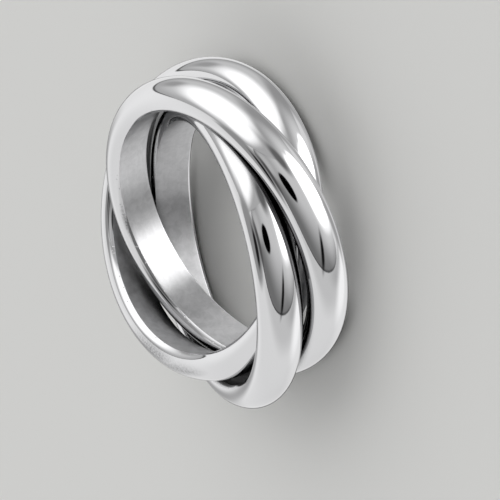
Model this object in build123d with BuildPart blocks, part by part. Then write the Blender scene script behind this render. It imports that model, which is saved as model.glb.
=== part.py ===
from build123d import *
from math import asin, atan2, cos, degrees, radians, sin
import os

# A rolling ring lying on its side on a surface at z = 0: three equal half-round bands, each linked
# through the other two. +Z is the way a finger goes through the set.

# Driving dimensions, in millimetres
band_inner_diameter = 19.0
band_width = 3.28
band_thickness = 1.95
edge_bevel = 0.1  # flat 45 degree cut between the bore's wall and the shoulders
shoulder_share = 0.436  # radius of the shoulders beside the crown, of the band's thickness
link_gap = 0.15  # play left where one band crosses another

# How each band lies in the set. Round the set a band weaves up and down and in and out among the
# other two: rise_share is how far up and down, of one band's width and the play, and shift_share is
# how far in and out, of one band's thickness and the play. lean_angle is the way the band's axis
# leans, in degrees from +X.
band_places = {
    "first_band": {"rise_share": 0.838, "shift_share": 0.79, "lean_angle": 180.0},
    "second_band": {"rise_share": 0.704, "shift_share": 0.63, "lean_angle": 87.5},
    "third_band": {"rise_share": 0.642, "shift_share": 0.71, "lean_angle": -45.5},
}

# Worked out from the above: out is measured from the bore's wall, up from the band's middle
inner_radius = band_inner_diameter / 2
middle_radius = inner_radius + band_thickness / 2
shoulder_radius = shoulder_share * band_thickness
shoulder_out = edge_bevel + shoulder_radius * sin(radians(45))  # centre of a shoulder's arc
shoulder_up = band_width / 2 - shoulder_radius
wall_half_width = shoulder_up + shoulder_radius * sin(radians(45)) - edge_bevel
# The crown's arc passes through the band's outermost point and runs smoothly into both shoulders
room = band_thickness - shoulder_radius
crown_out = (room**2 - shoulder_out**2 - shoulder_up**2) / (2 * (room - shoulder_out))
crown_radius = band_thickness - crown_out
crown_half_angle = degrees(atan2(shoulder_up, shoulder_out - crown_out))


def band_lean(rise_share):
    """Angle between a band's axis and the vertical, from how far the band rises and falls."""
    return degrees(asin(rise_share * (band_width + link_gap) / middle_radius))


def band_plane(rise_share, shift_share, lean_angle):
    """Plane through a band's middle: its normal is the band's axis, its X the diameter that stays level."""
    lean = band_lean(rise_share)
    level = Vector(-sin(radians(lean_angle)), cos(radians(lean_angle)), 0)
    axis = Vector(
        sin(radians(lean)) * cos(radians(lean_angle)),
        sin(radians(lean)) * sin(radians(lean_angle)),
        cos(radians(lean)),
    )
    # The lower shoulder's lowest point touches the surface that the ring lies on
    height = (
        (inner_radius + shoulder_out) * sin(radians(lean))
        + shoulder_up * cos(radians(lean))
        + shoulder_radius
    )
    centre = level * shift_share * (band_thickness + link_gap) + Vector(0, 0, height)
    return Plane(origin=centre, x_dir=level, z_dir=axis)


os.makedirs("parts", exist_ok=True)

for name, place in band_places.items():
    lying = band_plane(**place)

    # D section beside the axis, X outward and Y along the axis, turned once round it
    section = Plane(origin=lying.origin, x_dir=lying.x_dir, z_dir=-lying.y_dir)
    with BuildPart() as band:
        with BuildSketch(section):
            with BuildLine():
                CenterArc((inner_radius + crown_out, 0), crown_radius, -crown_half_angle, 2 * crown_half_angle)
                shoulders = [
                    CenterArc(
                        (inner_radius + shoulder_out, side * shoulder_up),
                        shoulder_radius,
                        side * crown_half_angle,
                        side * (135 - crown_half_angle),
                    )
                    for side in (1, -1)
                ]
                Polyline(
                    shoulders[0] @ 1,
                    (inner_radius, wall_half_width),
                    (inner_radius, -wall_half_width),
                    shoulders[1] @ 1,
                )
            make_face()
        revolve(axis=Axis(lying.origin, lying.z_dir))

    band.part.label = name
    export_step(band.part, f"parts/{name}.step")
    print(
        f"{name}: centre {lying.origin.X:.4f} {lying.origin.Y:.4f} {lying.origin.Z:.4f}",
        f"axis {lying.z_dir.X:.6f} {lying.z_dir.Y:.6f} {lying.z_dir.Z:.6f}",
        f"lean {band_lean(place['rise_share']):.2f}",
    )
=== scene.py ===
import bpy
import numpy as np
from mathutils import Matrix


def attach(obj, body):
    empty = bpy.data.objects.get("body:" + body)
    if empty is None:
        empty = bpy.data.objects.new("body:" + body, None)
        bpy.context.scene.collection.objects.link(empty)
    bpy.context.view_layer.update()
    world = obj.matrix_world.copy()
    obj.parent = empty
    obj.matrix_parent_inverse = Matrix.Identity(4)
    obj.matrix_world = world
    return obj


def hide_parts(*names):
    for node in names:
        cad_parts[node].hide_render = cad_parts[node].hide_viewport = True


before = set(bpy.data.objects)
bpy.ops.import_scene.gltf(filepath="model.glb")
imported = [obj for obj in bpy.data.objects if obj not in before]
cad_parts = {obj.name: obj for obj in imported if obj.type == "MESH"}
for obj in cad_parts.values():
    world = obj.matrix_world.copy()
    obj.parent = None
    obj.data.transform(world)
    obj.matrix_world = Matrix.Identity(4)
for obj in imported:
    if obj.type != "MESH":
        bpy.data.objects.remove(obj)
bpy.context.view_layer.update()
mm = 0.001
scene = bpy.context.scene


# A colour written as sRGB hex, turned to the linear RGBA that Blender's sockets take: a straight line near black
# and a power of 2.4 above it
def hexColour(text):
    srgb = np.array([int(text[i:i + 2], 16) for i in (1, 3, 5)]) / 255
    linear = np.where(srgb <= 0.04045, srgb / 12.92, ((srgb + 0.055) / 1.055) ** 2.4)
    return (*(float(c) for c in linear), 1.0)


# One node. A setting is one of its properties, or an input by name or, written in_0, by number; each link is an
# input of it and the socket that feeds it
def addNode(tree, kind, links=(), **settings):
    node = tree.nodes.new(kind)
    for key, value in settings.items():
        if hasattr(node, key):
            setattr(node, key, value)
        elif key.startswith("in_"):
            node.inputs[int(key[3:])].default_value = value
        else:
            node.inputs[key.replace("_", " ")].default_value = value
    for key, socket in links:
        tree.links.new(socket, node.inputs[key])
    return node


# Camera first: it looks down past the middle of the ring, rolled over onto its side as the picture is
camera = {"aimMm": (-1.836, -0.352, 2.0), "distanceMm": 211.63, "headingDeg": 86.0, "downDeg": 32.36,
          "rollDeg": -102.868, "lensMm": 216.0, "sensorMm": 36.0, "nearM": 0.005, "farM": 20.0}


# Look points along the heading and down; the picture's right and down are the level and the steep direction
# square to it, turned by the roll
def makeCamera(c):
    heading, down, roll = np.radians([c["headingDeg"], c["downDeg"], c["rollDeg"]])
    look = np.array([np.cos(down) * np.cos(heading), np.cos(down) * np.sin(heading), -np.sin(down)])
    level = np.array([np.sin(heading), -np.cos(heading), 0.0])
    below = np.cross(look, level)
    imageRight = np.cos(roll) * level - np.sin(roll) * below
    imageDown = np.sin(roll) * level + np.cos(roll) * below
    place = np.array(c["aimMm"]) * mm - look * c["distanceMm"] * mm
    turn = np.column_stack([imageRight, -imageDown, -look])
    data = bpy.data.cameras.new("pictureCamera")
    data.lens, data.sensor_width, data.clip_start, data.clip_end = c["lensMm"], c["sensorMm"], c["nearM"], c["farM"]
    cam = bpy.data.objects.new("pictureCamera", data)
    cam.matrix_world = Matrix([[*turn[i], place[i]] for i in range(3)] + [[0, 0, 0, 1]])
    scene.collection.objects.link(cam)
    scene.camera = cam


makeCamera(camera)
print("camera ready")


# Bands: the half-round section of one band carried once round its own leaning axis
band = {"innerDiameterMm": 19.0, "widthMm": 3.28, "thicknessMm": 1.95, "bevelMm": 0.1, "shoulderShare": 0.436,
        "playMm": 0.15, "edgeRoundMm": 0.03, "stepsRound": 720, "stepsCrown": 44, "stepsShoulder": 14,
        "stepsCorner": 5, "stepsWall": 9}
places = {
    "first_band": {"riseShare": 0.838, "shiftShare": 0.79, "leanDeg": 180.0},
    "second_band": {"riseShare": 0.704, "shiftShare": 0.63, "leanDeg": 87.5},
    "third_band": {"riseShare": 0.642, "shiftShare": 0.71, "leanDeg": -45.5},
}


# Worked out from the sizes: a shoulder's radius, its centre's distance out and up, then the centre of the crown,
# whose arc passes through the band's outermost point and runs smoothly into both shoulders
def bandShape(b):
    r = b["shoulderShare"] * b["thicknessMm"]
    out, up, room = b["bevelMm"] + r * np.sin(np.pi / 4), b["widthMm"] / 2 - r, b["thicknessMm"] - r
    crown = (room ** 2 - out ** 2 - up ** 2) / (2 * (room - out))
    return r, out, up, crown


# Closed section, as distance from the axis and height along it: the crown's arc, the shoulders' arcs, the 45
# degree bevels and the bore's straight wall, which meets each bevel in a small arc of its own
def bandSection(b):
    inner, edge = b["innerDiameterMm"] / 2, b["edgeRoundMm"]
    r, out, up, crown = bandShape(b)
    turn = np.arctan2(up, out - crown)
    a = np.linspace(-turn, turn, b["stepsCrown"])
    crownLine = (b["thicknessMm"] - crown) * np.column_stack([np.cos(a), np.sin(a)]) + [crown, 0]
    a = np.linspace(turn, np.radians(135), b["stepsShoulder"])[1:]
    shoulder = np.column_stack([out + r * np.cos(a), up + r * np.sin(a)])
    trim = edge * np.tan(np.radians(22.5))
    top = up + r * np.sin(np.pi / 4) - b["bevelMm"]  # where the bevel and the wall would meet
    a = np.radians(np.linspace(135, 180, b["stepsCorner"]))
    corner = np.column_stack([edge + edge * np.cos(a), top - trim + edge * np.sin(a)])
    wall = np.linspace(top - trim, trim - top, b["stepsWall"])[1:-1]
    side = np.vstack([shoulder, corner])
    section = np.vstack([crownLine, side, np.column_stack([0 * wall, wall]), (side * [1, -1])[::-1]])
    return section + [inner, 0], (len(crownLine) + len(side) - 1, len(crownLine) + len(side) + len(wall))


# Point at u round the band and v round its section: centre, plus the section's distance at v times (the level
# direction times cos u, plus the rising one times sin u), plus the section's height at v along the band's axis.
# The axis leans so that the band rises and falls by its share of a band's width and the play, the centre stands
# off along the level direction, and the lower shoulder's lowest point touches the floor
def bandSurface(name, b, p):
    r, out, up, crown = bandShape(b)
    lean = np.arcsin(p["riseShare"] * (b["widthMm"] + b["playMm"]) / ((b["innerDiameterMm"] + b["thicknessMm"]) / 2))
    toward = np.radians(p["leanDeg"])
    level = np.array([-np.sin(toward), np.cos(toward), 0.0])
    axis = np.array([np.sin(lean) * np.cos(toward), np.sin(lean) * np.sin(toward), np.cos(lean)])
    rise = np.cross(axis, level)
    height = (b["innerDiameterMm"] / 2 + out) * np.sin(lean) + up * np.cos(lean) + r
    centre = level * p["shiftShare"] * (b["thicknessMm"] + b["playMm"]) + [0, 0, height]
    section, (wallFrom, wallTo) = bandSection(b)
    n, m = b["stepsRound"], len(section)
    u = np.linspace(0, 2 * np.pi, n, endpoint=False)[:, None]
    own = np.stack(np.broadcast_arrays(section[:, 0] * np.cos(u), section[:, 0] * np.sin(u), section[:, 1]), -1)
    points = (centre + own @ np.array([level, rise, axis])) * mm
    i, j = np.mgrid[0:n, 0:m]
    i2, j2 = (i + 1) % n, (j + 1) % m
    quads = np.stack([i * m + j, i2 * m + j, i2 * m + j2, i * m + j2], -1).reshape(-1, 4)
    mesh = bpy.data.meshes.new(name)
    mesh.from_pydata(points.reshape(-1, 3), [], quads.tolist())
    mesh.polygons.foreach_set("use_smooth", np.ones(len(quads), bool))
    inBore = (j >= wallFrom) & (j < wallTo)
    mesh.polygons.foreach_set("material_index", inBore.ravel().astype(np.int32))
    # Each point's place on its own band, in millimetres, which the finishes below follow round it
    mesh.attributes.new("ownMm", "FLOAT_VECTOR", "POINT").data.foreach_set("vector", own.ravel())
    # Flat map in millimetres, across the section and then round the band, for the lie of the satin's grooves
    step = np.linalg.norm(np.roll(section, -1, axis=0) - section, axis=1)
    across, along = np.append(0, np.cumsum(step)), np.linspace(0, 2 * np.pi, n + 1) * b["innerDiameterMm"] / 2
    corners = [np.stack([across[j + a], along[i + c]], -1) for a, c in ((0, 0), (0, 1), (1, 1), (1, 0))]
    mesh.uv_layers.new(name="lieMm").data.foreach_set("uv", np.stack(corners, 2).ravel())
    mesh.update()
    piece = bpy.data.objects.new(name, mesh)
    scene.collection.objects.link(piece)
    return piece


# Painted shade in the crevices: where the bands cross closely, little light gets in and what they mirror of each
# other is dark, so over the last part of a millimetre the metal's colour is painted darker, down to near black, by
# how enclosed the ambient occlusion finds it. Unshaded and fully shaded are the openness at which it starts and ends
paintedCreviceShade = {"colour": "#0c0c0c", "unshaded": 0.85, "fullyShaded": 0.4, "feelers": 6}


# The metal's colour: its own tone, between dull and full by the share given, then darkened by painted shade in the
# crevices between the bands
def metalColourWithPaintedShade(tree, v, share):
    near = addNode(tree, "ShaderNodeAmbientOcclusion", samples=paintedCreviceShade["feelers"],
                   Distance=v["paintedShadeReachMm"] * mm).outputs["AO"]
    unshaded = addNode(tree, "ShaderNodeMapRange", [("Value", near)], From_Min=paintedCreviceShade["fullyShaded"], From_Max=paintedCreviceShade["unshaded"])
    tone = addNode(tree, "ShaderNodeMix", [(0, share)], data_type="RGBA", in_6=hexColour(v["dull"]),
                   in_7=hexColour(v["colour"]))
    mix = addNode(tree, "ShaderNodeMix", [(0, unshaded.outputs[0]), (7, tone.outputs[2])], data_type="RGBA",
                  in_6=hexColour(paintedCreviceShade["colour"]))
    return mix.outputs[2]


# Rhodium-plated sterling silver, polished to a mirror on a buffing wheel: a neutral and slightly dark mirror,
# broken only by the faint hairlines of wear and by the slow waviness that a hand-held wheel leaves. A scuff is a
# patch of fine scratches with grime in them, where the mirror goes dull and mottled; on the third band's outer edge
# the two patches' dark colour is partly that wear and partly painted reflection of the dark surroundings that the
# edge mirrors at a grazing angle. The edges of the bore are nicked here and there. Real hairlines are about 0.01 mm
# wide and are drawn coarser, to show. A lie is how fast a pattern changes round the band, as a share of how fast it
# does along the band's axis; a spread is the part of a noise that is used, from lowest to highest, and a range the
# shares of the roughness that it turns into
polished = {"colour": "#cbcbcc", "dull": "#707071", "edgeTint": "#e6e6e6", "roughness": 0.04, "scuffRoughness": 0.14,
            "paintedShadeReachMm": 0.9, "hairlineMm": 0.09, "hairlineDepthMm": 0.0004, "hairlineLie": 0.12,
            "waveMm": 3.2, "waveDepthMm": 0.0012, "speckleMm": 0.18, "speckleDepthMm": 0.002,
            "nickMm": 0.22, "nickDepthMm": 0.03, "nickedWithinMm": 9.64, "nickedFadeMm": 0.1,
            "smearSpread": (0.35, 0.75), "smearRange": (0.8, 1.5), "speckleSpread": (0.32, 0.68), "speckleLeast": 0.2,
            "nickSpread": (0.69, 0.8)}
scuffsAndPaintedDark = {  # middle and reach on each band: degrees round it, mm from its axis and mm along its axis
    "first_band": [{"at": (161, 9.62, 1.44), "reach": (12, 0.45, 0.22)}],
    "second_band": [{"at": (-51, 10.3, -1.0), "reach": (10, 1.2, 0.6)}],
    # These two patches lie where the outer edge mirrors dark surroundings at a grazing angle: their dark colour is
    # partly scuff wear and partly painted reflection
    "third_band": [{"at": (98, 10.42, 1.55), "reach": (21, 0.75, 0.42)},
                   {"at": (115, 10.68, 1.3), "reach": (19, 0.95, 0.55)}],
}


def polishedSilver(name, v, marks):
    mat = bpy.data.materials.new("mirrorPolishedRhodium_" + name)
    mat.use_nodes = True
    tree = mat.node_tree
    shader = tree.nodes["Principled BSDF"]
    shader.inputs["Metallic"].default_value = 1.0
    shader.inputs["Specular Tint"].default_value = hexColour(v["edgeTint"])
    own = addNode(tree, "ShaderNodeAttribute", attribute_name="ownMm").outputs["Vector"]
    lines = addNode(tree, "ShaderNodeMapping", [("Vector", own)],
                    in_3=(v["hairlineLie"], v["hairlineLie"], 1.0))
    hair = addNode(tree, "ShaderNodeTexNoise", [("Vector", lines.outputs[0])], Scale=1 / v["hairlineMm"], Detail=3.0,
                   Roughness=0.6)
    wave = addNode(tree, "ShaderNodeTexNoise", [("Vector", own)], Scale=1 / v["waveMm"], Detail=1.0)
    # The same place as degrees round the band, distance from its axis and height along it
    parts = addNode(tree, "ShaderNodeSeparateXYZ", [(0, own)]).outputs
    turned = addNode(tree, "ShaderNodeMath", [(0, parts[1]), (1, parts[0])], operation="ARCTAN2")
    turned = addNode(tree, "ShaderNodeMath", [(0, turned.outputs[0])], operation="DEGREES")
    flat = addNode(tree, "ShaderNodeVectorMath", [(0, own)], operation="MULTIPLY", in_1=(1, 1, 0))
    flat = addNode(tree, "ShaderNodeVectorMath", [(0, flat.outputs[0])], operation="LENGTH").outputs["Value"]
    lying = addNode(tree, "ShaderNodeCombineXYZ", [(0, turned.outputs[0]), (1, flat), (2, parts[2])]).outputs[0]
    # How deep a point lies in a scuff: 1 in its middle and 0 outside it
    wornAndPaintedDark = None
    for mark in marks:
        off = addNode(tree, "ShaderNodeVectorMath", [(0, lying)], operation="SUBTRACT", in_1=mark["at"])
        off = addNode(tree, "ShaderNodeVectorMath", [(0, off.outputs[0])], operation="DIVIDE", in_1=mark["reach"])
        far = addNode(tree, "ShaderNodeVectorMath", [(0, off.outputs[0])], operation="LENGTH")
        deep = addNode(tree, "ShaderNodeMapRange", [("Value", far.outputs["Value"])], interpolation_type="SMOOTHSTEP",
                       From_Min=0.1, From_Max=1.0, To_Min=1.0, To_Max=0.0).outputs[0]
        if wornAndPaintedDark:
            deep = addNode(tree, "ShaderNodeMath", [(0, wornAndPaintedDark), (1, deep)], operation="MAXIMUM").outputs[0]
        wornAndPaintedDark = deep
    speckle = addNode(tree, "ShaderNodeTexNoise", [("Vector", own)], Scale=1 / v["speckleMm"], Detail=5.0,
                      Roughness=0.8)
    mottle = addNode(tree, "ShaderNodeMapRange", [("Value", speckle.outputs[0])], From_Min=v["speckleSpread"][0],
                     From_Max=v["speckleSpread"][1], To_Min=v["speckleLeast"])
    dull = addNode(tree, "ShaderNodeMath", [(0, mottle.outputs[0]), (1, wornAndPaintedDark)], operation="MULTIPLY")
    bright = addNode(tree, "ShaderNodeMath", [(1, dull.outputs[0])], operation="SUBTRACT", in_0=1.0)
    # Base colour: dulled in the scuffs, and darkened by painted shade in the crevices between the bands
    tree.links.new(metalColourWithPaintedShade(tree, v, bright.outputs[0]), shader.inputs["Base Color"])
    smear = addNode(tree, "ShaderNodeMapRange", [("Value", hair.outputs[0])], From_Min=v["smearSpread"][0],
                    From_Max=v["smearSpread"][1], To_Min=v["roughness"] * v["smearRange"][0],
                    To_Max=v["roughness"] * v["smearRange"][1])
    rough = addNode(tree, "ShaderNodeMath", [(0, dull.outputs[0]), (2, smear.outputs[0])], operation="MULTIPLY_ADD",
                    in_1=v["scuffRoughness"])
    # Nicks, only where a point is nearer to the axis than the bevel's outer edge
    edge = addNode(tree, "ShaderNodeMapRange", [("Value", flat)], From_Min=v["nickedWithinMm"],
                   From_Max=v["nickedWithinMm"] + v["nickedFadeMm"], To_Min=1.0, To_Max=0.0)
    chip = addNode(tree, "ShaderNodeTexNoise", [("Vector", own)], Scale=1 / v["nickMm"], Detail=1.0)
    chip = addNode(tree, "ShaderNodeMapRange", [("Value", chip.outputs[0])], From_Min=v["nickSpread"][0],
                   From_Max=v["nickSpread"][1])
    chip = addNode(tree, "ShaderNodeMath", [(0, chip.outputs[0]), (1, edge.outputs[0])], operation="MULTIPLY")
    slow = addNode(tree, "ShaderNodeBump", [("Height", wave.outputs[0])], Strength=1.0, Distance=v["waveDepthMm"] * mm)
    fine = addNode(tree, "ShaderNodeBump", [("Height", hair.outputs[0]), ("Normal", slow.outputs[0])], Strength=1.0,
                   Distance=v["hairlineDepthMm"] * mm)
    pit = addNode(tree, "ShaderNodeBump", [("Height", dull.outputs[0]), ("Normal", fine.outputs[0])], Strength=1.0,
                  Distance=v["speckleDepthMm"] * mm)
    nick = addNode(tree, "ShaderNodeBump", [("Height", chip.outputs[0]), ("Normal", pit.outputs[0])], Strength=1.0,
                   Distance=v["nickDepthMm"] * mm, invert=True)
    tree.links.new(rough.outputs[0], shader.inputs["Roughness"])
    tree.links.new(nick.outputs[0], shader.inputs["Normal"])
    return mat


# The same metal inside a band, left satin by the emery stick that was turned round the bore: reflections are
# drawn out across its fine grooves, which run round, and stay fairly sharp along them; wear has left it mottled.
# The grit's grooves are about 0.03 mm wide and are drawn coarser, to show
satin = {"colour": "#c2c2c3", "dull": "#b0b0b1", "edgeTint": "#e6e6e6", "roughness": 0.36, "anisotropy": 0.85,
         "paintedShadeReachMm": 0.95, "grainMm": 0.11, "grainDepthMm": 0.0035, "grainLie": 0.04, "cloudMm": 0.6,
         "cloudSpread": (0.35, 0.65), "smearSpread": (0.7, 1.3), "smearRange": (0.85, 1.2)}


def satinSilver(v):
    mat = bpy.data.materials.new("satinTurnedRhodium")
    mat.use_nodes = True
    tree = mat.node_tree
    shader = tree.nodes["Principled BSDF"]
    shader.inputs["Metallic"].default_value = 1.0
    shader.inputs["Specular Tint"].default_value = hexColour(v["edgeTint"])
    shader.inputs["Anisotropic"].default_value = v["anisotropy"]
    own = addNode(tree, "ShaderNodeAttribute", attribute_name="ownMm").outputs["Vector"]
    lines = addNode(tree, "ShaderNodeMapping", [("Vector", own)],
                    in_3=(v["grainLie"], v["grainLie"], 1.0))
    grain = addNode(tree, "ShaderNodeTexNoise", [("Vector", lines.outputs[0])], Scale=1 / v["grainMm"], Detail=4.0,
                    Roughness=0.6)
    cloud = addNode(tree, "ShaderNodeTexNoise", [("Vector", own)], Scale=1 / v["cloudMm"], Detail=4.0, Roughness=0.6,
                    Distortion=0.6)
    patch = addNode(tree, "ShaderNodeMapRange", [("Value", cloud.outputs[0])], From_Min=v["cloudSpread"][0],
                    From_Max=v["cloudSpread"][1])
    # Base colour: the satin's mottled tone, darkened by painted shade in the crevices between the bands
    tree.links.new(metalColourWithPaintedShade(tree, v, patch.outputs[0]), shader.inputs["Base Color"])
    both = addNode(tree, "ShaderNodeMath", [(0, grain.outputs[0]), (1, cloud.outputs[0])], operation="ADD")
    rough = addNode(tree, "ShaderNodeMapRange", [("Value", both.outputs[0])], From_Min=v["smearSpread"][0],
                    From_Max=v["smearSpread"][1], To_Min=v["roughness"] * v["smearRange"][0],
                    To_Max=v["roughness"] * v["smearRange"][1])
    bump = addNode(tree, "ShaderNodeBump", [("Height", grain.outputs[0])], Strength=1.0,
                   Distance=v["grainDepthMm"] * mm)
    across = addNode(tree, "ShaderNodeTangent", direction_type="UV_MAP", uv_map="lieMm")
    tree.links.new(across.outputs[0], shader.inputs["Tangent"])
    tree.links.new(rough.outputs[0], shader.inputs["Roughness"])
    tree.links.new(bump.outputs[0], shader.inputs["Normal"])
    return mat


satinFinish = satinSilver(satin)
for name, place in places.items():
    piece = bandSurface("rolling_" + name, band, place)
    piece.data.materials.append(polishedSilver(name, polished, scuffsAndPaintedDark[name]))
    piece.data.materials.append(satinFinish)
    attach(piece, name)
    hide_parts(name)
    print(name, "ready,", len(piece.data.polygons) * 2, "triangles")


# Floor: a matt pale board, which the metal doesn't mirror: it shows the light tent on all sides instead
floorBoard = {"colour": "#d4d4d2", "widthM": 6.0, "roughness": 0.9, "gloss": 0.1}


def makeFloor(f):
    mesh = bpy.data.meshes.new("paleFloor")
    h = f["widthM"] / 2
    mesh.from_pydata([(-h, -h, 0), (h, -h, 0), (h, h, 0), (-h, h, 0)], [], [(0, 1, 2, 3)])
    floor = bpy.data.objects.new("paleFloor", mesh)
    scene.collection.objects.link(floor)
    mat = bpy.data.materials.new("mattPaleBoard")
    mat.use_nodes = True
    shader = mat.node_tree.nodes["Principled BSDF"]
    shader.inputs["Base Color"].default_value = hexColour(f["colour"])
    shader.inputs["Roughness"].default_value = f["roughness"]
    shader.inputs["Specular IOR Level"].default_value = f["gloss"]
    mesh.materials.append(mat)
    floor.visible_glossy = False


makeFloor(floorBoard)

# Light tent: what surrounds the ring, by compass direction and height in degrees. Each patch is a rounded
# panel: its middle, half its width and height, how far it is turned, how square it is and how soft its edge
# is; grey is what shows of it in polished silver. Later ones lie in front.
tent = {"wall": "#d2d2d2", "backdrop": "#cfcfcd", "silverSends": 0.6}
panels = [
    {"at": (66, 0), "half": (50, 50), "grey": "#e6e6e6", "square": 2, "soft": 0.6},
    {"at": (125, -60), "half": (60, 18), "grey": "#e2e2e2", "square": 3, "soft": 0.6},
    {"at": (62, -56), "half": (30, 12), "grey": "#b0b0b0", "square": 2, "soft": 0.6},
    {"at": (94, -56), "half": (14, 14), "grey": "#909090", "square": 2, "soft": 0.6},
    {"at": (88, -7), "half": (15, 20), "grey": "#a2a2a2", "square": 2, "soft": 0.6},
    {"at": (80, -28), "half": (11, 10), "grey": "#505050", "square": 2, "soft": 0.6},
    {"at": (93, -36), "half": (11, 12), "grey": "#282828", "square": 2, "soft": 0.5},
    {"at": (-158, 10), "half": (18, 60), "grey": "#bcbcbc", "square": 2, "soft": 0.6},
    {"at": (-148, -50), "half": (10, 34), "grey": "#a8a8a8", "square": 2, "soft": 0.6},
    {"at": (-176, -62), "half": (24, 26), "grey": "#f2f2f2", "square": 2, "soft": 0.5},
    {"at": (-98, 4), "half": (50.2, 66.7), "turn": 8, "grey": "#404040", "square": 6, "soft": 0.01},
    {"at": (-98, 4), "half": (48.5, 65), "turn": 8, "grey": "#6a6a6a", "square": 6, "soft": 0.012},
    {"at": (-76, 58), "half": (18, 12), "grey": "#a8a8a8", "square": 2, "soft": 0.6},
    {"at": (-12, 8), "half": (58, 65), "grey": "#484848", "square": 3, "soft": 0.012},
    {"at": (-12, -22), "half": (57, 36), "grey": "#929292", "square": 4, "soft": 0.05},
    {"at": (-80, -6), "half": (46, 50), "grey": "#c0c0c0", "square": 2, "soft": 0.6},
    {"at": (-12, 9), "half": (56.2, 66), "grey": "#a4a4a4", "square": 3, "soft": 0.015},
    {"at": (4, 4), "half": (34, 46), "grey": "#c0c0c0", "square": 2.5, "soft": 0.25},
    {"at": (31, 0), "half": (8, 10), "grey": "#989898", "square": 2, "soft": 0.6},
    {"at": (-32, 40), "half": (22, 24), "grey": "#ffffff", "square": 2.6, "soft": 0.3},
    {"at": (-10, 23.5), "half": (31, 36), "grey": "#ffffff", "gain": 1.15, "square": 2.6, "soft": 0.35},
    {"at": (-42, -14), "half": (16, 9), "turn": -40, "grey": "#949494", "square": 2, "soft": 0.6},
    {"at": (-10, -41), "half": (58, 12), "turn": -27, "grey": "#909090", "square": 2, "soft": 0.6},
    {"at": (-80, -50), "half": (50, 36), "grey": "#d2d2d2", "square": 2.5, "soft": 0.45},
    {"at": (-100, -46), "half": (14, 26), "grey": "#ffffff", "square": 2.5, "soft": 0.35},
    {"at": (-60, -55), "half": (17, 19), "turn": 20, "grey": "#ffffff", "gain": 3.4, "square": 2.5, "soft": 0.3},
    {"at": (-80, -43.5), "half": (25, 27.5), "turn": 8, "grey": "#ffffff", "gain": 2.6, "square": 3, "soft": 0.25},
    {"at": (-65, 4), "half": (11, 13), "turn": -25, "grey": "#606060", "square": 2, "soft": 0.5},
    {"at": (-134, 0), "half": (20, 4), "turn": -34, "grey": "#101010", "square": 2, "soft": 0.5},
    {"at": (0, 90), "half": (900, 20), "grey": "#8a8a8a", "square": 8, "soft": 0.2},
    {"at": (-120, 82), "half": (70, 6), "grey": "#1c1c1c", "square": 3, "soft": 0.4},
    {"at": (-98, 67), "half": (34, 5), "grey": "#4c4c4c", "square": 3, "soft": 0.5},
    {"at": (0, -90), "half": (900, 12), "grey": "#9a9a9a", "square": 8, "soft": 0.5},
    {"at": (-94, 33.5), "half": (12, 12), "grey": "#000000", "square": 2, "soft": 0.12},
]


# A patch's strength at a direction: its offset is taken the short way round the compass, turned and divided by
# the patch's half size; both parts are raised to the power square and added, and the root of that is 1 on the rim
def makeTent(t, patches):
    world = bpy.data.worlds.new("lightTent")
    world.use_nodes = True
    scene.world = world
    tree = world.node_tree
    out = tree.nodes["Background"]
    way = addNode(tree, "ShaderNodeSeparateXYZ", [(0, addNode(tree, "ShaderNodeTexCoord").outputs["Object"])])
    compass = addNode(tree, "ShaderNodeMath", [(0, way.outputs[1]), (1, way.outputs[0])], operation="ARCTAN2")
    upward = addNode(tree, "ShaderNodeMath", [(0, way.outputs[2])], operation="ARCSINE")
    both = addNode(tree, "ShaderNodeCombineXYZ", [(0, compass.outputs[0]), (1, upward.outputs[0])])
    degrees = addNode(tree, "ShaderNodeVectorMath", [(0, both.outputs[0])], operation="SCALE", Scale=180 / np.pi)
    colour = addNode(tree, "ShaderNodeRGB")
    colour.outputs[0].default_value = hexColour(t["wall"])
    colour = colour.outputs[0]
    for p in patches:
        off = addNode(tree, "ShaderNodeVectorMath", [(0, degrees.outputs[0])], operation="SUBTRACT", in_1=(*p["at"], 0))
        off = addNode(tree, "ShaderNodeVectorMath", [(0, off.outputs[0])], operation="WRAP", in_1=(180, 180, 180),
                      in_2=(-180, -180, -180))
        off = addNode(tree, "ShaderNodeVectorRotate", [("Vector", off.outputs[0])], rotation_type="Z_AXIS",
                      Angle=-np.radians(p.get("turn", 0)))
        off = addNode(tree, "ShaderNodeVectorMath", [(0, off.outputs[0])], operation="DIVIDE", in_1=(*p["half"], 1))
        off = addNode(tree, "ShaderNodeVectorMath", [(0, off.outputs[0])], operation="ABSOLUTE")
        off = addNode(tree, "ShaderNodeSeparateXYZ", [(0, off.outputs[0])])
        sides = [addNode(tree, "ShaderNodeMath", [(0, part)], operation="POWER", in_1=p["square"])
                 for part in off.outputs[:2]]
        reach = addNode(tree, "ShaderNodeMath", [(0, sides[0].outputs[0]), (1, sides[1].outputs[0])], operation="ADD")
        reach = addNode(tree, "ShaderNodeMath", [(0, reach.outputs[0])], operation="POWER", in_1=1 / p["square"])
        inside = addNode(tree, "ShaderNodeMapRange", [("Value", reach.outputs[0])], interpolation_type="SMOOTHSTEP",
                         From_Min=1 - p["soft"], From_Max=1 + p["soft"], To_Min=1.0, To_Max=0.0)
        mix = addNode(tree, "ShaderNodeMix", [(0, inside.outputs[0]), (6, colour)], data_type="RGBA",
                      in_7=tuple(c * p.get("gain", 1.0) for c in hexColour(p["grey"])))
        colour = mix.outputs[2]
    bright = addNode(tree, "ShaderNodeVectorMath", [(0, colour)], operation="SCALE", Scale=1 / t["silverSends"])
    seen = addNode(tree, "ShaderNodeLightPath").outputs["Is Camera Ray"]
    shown = addNode(tree, "ShaderNodeMix", [(0, seen), (6, bright.outputs[0])], data_type="RGBA",
                    in_7=hexColour(t["backdrop"]))
    tree.links.new(shown.outputs[2], out.inputs["Color"])


makeTent(tent, panels)
scene.view_settings.view_transform = "Standard"
print("floor and light ready")
